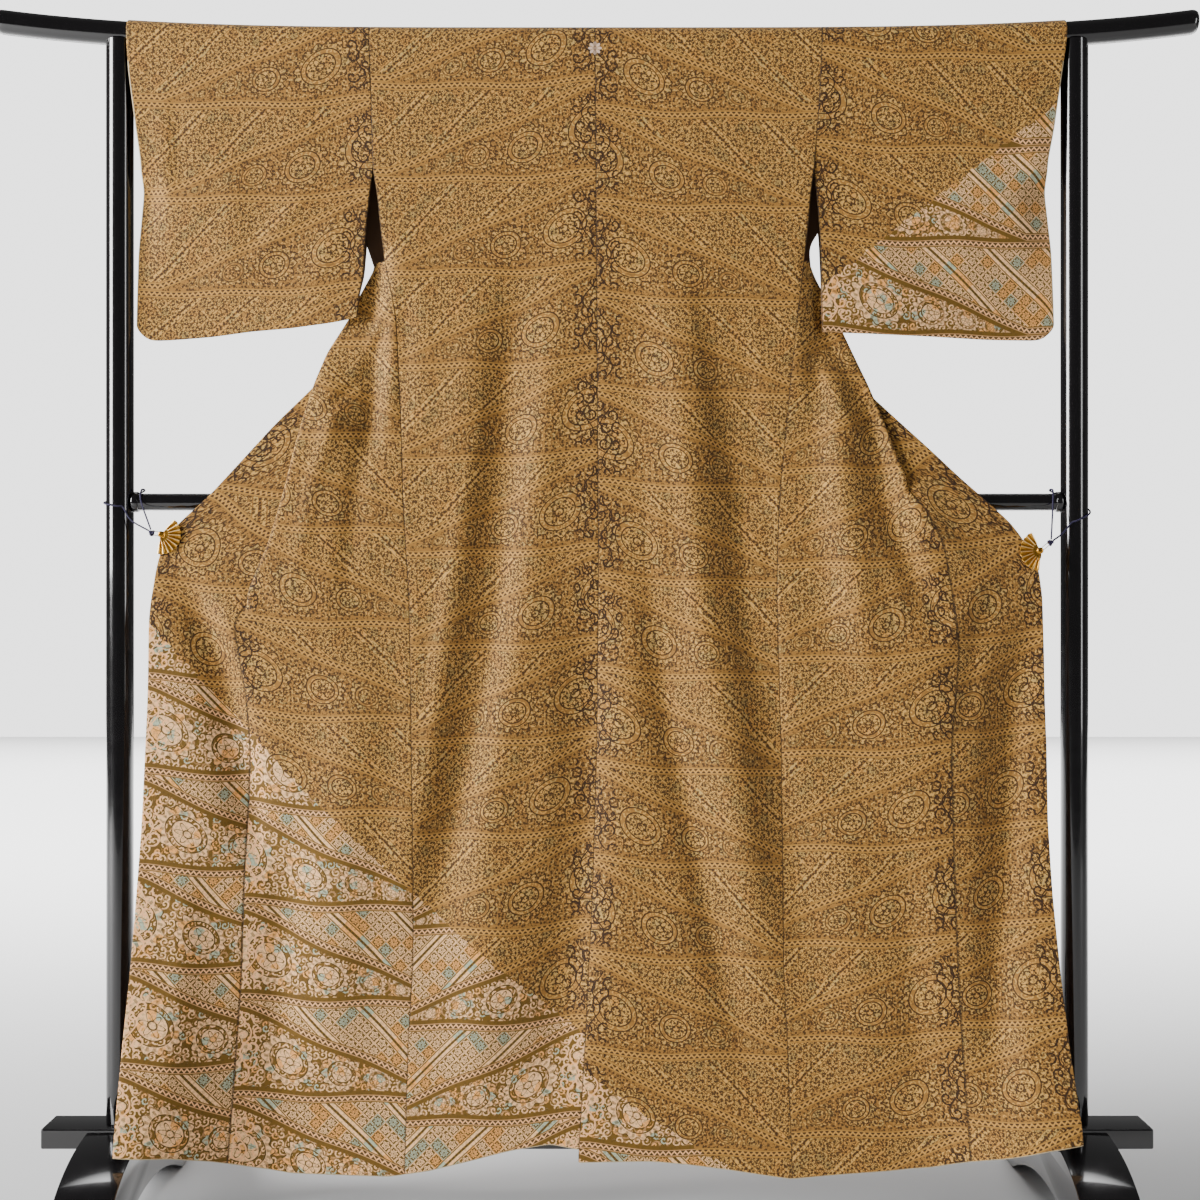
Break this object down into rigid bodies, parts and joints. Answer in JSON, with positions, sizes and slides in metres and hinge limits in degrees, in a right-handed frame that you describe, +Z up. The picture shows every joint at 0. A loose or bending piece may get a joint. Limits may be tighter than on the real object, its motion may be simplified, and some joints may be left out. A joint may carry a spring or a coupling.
{
  "type": "kimono on a kimono stand",
  "caption": "Patterned silk kimono spread over a lacquered kimono stand, seen from the wearer's back, with both fronts held open by pleated clips and the sleeves hanging from the rail.",
  "frame": {"origin": "on the floor under the middle of the stand, midway between the feet and under the top rail", "axes": "+Z up; -Y towards the side where the back of the garment shows; +X towards the wearer's right sleeve"},
  "size_m": [1.6826, 0.51, 1.6806],
  "materials": {
    "silk": "satin",
    "lacquered_wood": "gloss black lacquer",
    "gilt_metal": "polished",
    "cord": "matt"
  },
  "bodies": {
    "root": {"back_left": "silk", "back_right": "silk", "front_left": "silk", "front_right": "silk", "front_left_shoulder": "silk", "front_right_shoulder": "silk", "okumi_left": "silk", "okumi_right": "silk", "sleeve_left_back": "silk", "sleeve_left_front": "silk", "sleeve_right_back": "silk", "sleeve_right_front": "silk", "over_collar": "silk", "collar_left": "silk", "collar_right": "silk", "top_rail": "lacquered_wood", "mid_rail": "lacquered_wood", "post_left": "lacquered_wood", "post_right": "lacquered_wood", "base_beam": "lacquered_wood", "foot_left": "lacquered_wood", "foot_right": "lacquered_wood", "clip_left_fan": "gilt_metal", "clip_left_jaw": "gilt_metal", "clip_right_fan": "gilt_metal", "clip_right_jaw": "gilt_metal", "knot_left": "cord", "knot_right": "cord", "tie_left": "cord", "tie_right": "cord"}
  },
  "joints": []
}
